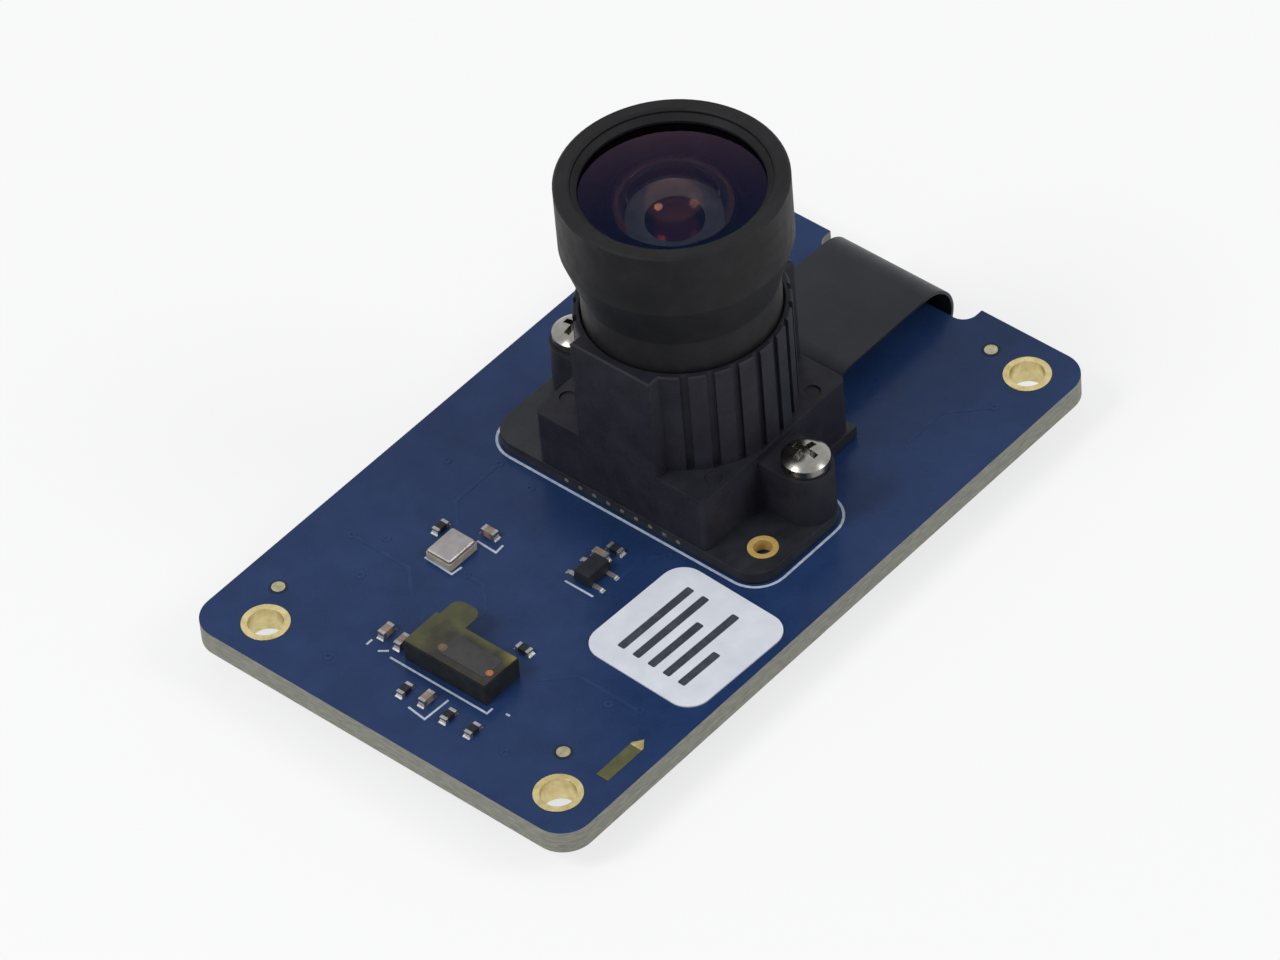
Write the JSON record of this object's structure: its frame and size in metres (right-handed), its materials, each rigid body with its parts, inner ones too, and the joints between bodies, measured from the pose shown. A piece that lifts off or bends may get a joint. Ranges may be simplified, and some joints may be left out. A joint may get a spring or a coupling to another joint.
{
  "type": "camera module",
  "caption": "Small blue camera board with a tall black screw-in lens in a round fluted holder, a folded flex tail, a ranging sensor and a ribbon socket underneath.",
  "frame": {"origin": "centre of the mounting-hole pattern on the underside of the main board", "axes": "+X along the board to its notched short edge, +Z the way the lens looks"},
  "size_m": [0.049, 0.03, 0.0262],
  "materials": {
    "blue_board": "satin",
    "gold": "polished",
    "olive_strip": "satin",
    "white_sticker": "matte",
    "black_package": "matte",
    "olive_film": "gloss",
    "pale_ceramic": "matte",
    "nickel": "satin",
    "tan_ceramic": "matte",
    "black_board": "satin",
    "black_tape": "matte",
    "sensor_silicon": "gloss",
    "clear_glass": "polished",
    "filter_glass": "polished",
    "black_moulding": "satin",
    "bright_nickel": "polished",
    "black_anodised": "satin",
    "coated_glass": "polished",
    "black_flex": "satin",
    "olive_stiffener": "matte",
    "ivory_plastic": "matte"
  },
  "bodies": {
    "module": {"main_board": "blue_board", "mounting_hole_plating": "gold", "fiducial_dots": "gold", "tooling_hole_plating": "gold", "test_strip": "olive_strip", "sticker": "white_sticker", "ranging_sensor": "black_package", "ranging_film": "olive_film", "crystal_base": "pale_ceramic", "crystal_lid": "nickel", "diode_package": "black_package", "diode_leads": "nickel", "capacitor_bodies": "tan_ceramic", "capacitor_caps": "nickel", "resistor_bodies": "black_package", "resistor_caps": "nickel", "motion_sensor": "black_package", "voltage_regulators": "black_package", "sensor_board": "black_board", "sensor_board_tape": "black_tape", "image_sensor": "black_package", "sensor_die": "sensor_silicon", "sensor_cover_glass": "clear_glass", "filter_pane": "filter_glass", "lens_holder": "black_moulding", "holder_screws": "bright_nickel", "holder_nuts": "bright_nickel", "lens_barrel": "black_anodised", "front_ring": "black_anodised", "cone_ring": "black_anodised", "aperture_stop": "black_anodised", "rear_spacer": "black_anodised", "rear_ring": "black_anodised", "front_glass": "coated_glass", "second_glass": "coated_glass", "third_glass": "clear_glass", "rear_glass": "clear_glass", "flex_tail": "black_flex", "flex_stiffener": "olive_stiffener", "flex_plug": "black_package", "board_receptacle": "black_package", "receptacle_feet": "nickel", "ribbon_housing": "ivory_plastic", "ribbon_contacts": "nickel", "ribbon_tabs": "nickel"},
    "slider": {"ribbon_slider": "black_package"}
  },
  "joints": [
    {"name": "ribbon_lock", "type": "slide", "parent": "module", "child": "slider", "axis": [-1, 0, 0], "range_m": [0, 0.0012]}
  ]
}
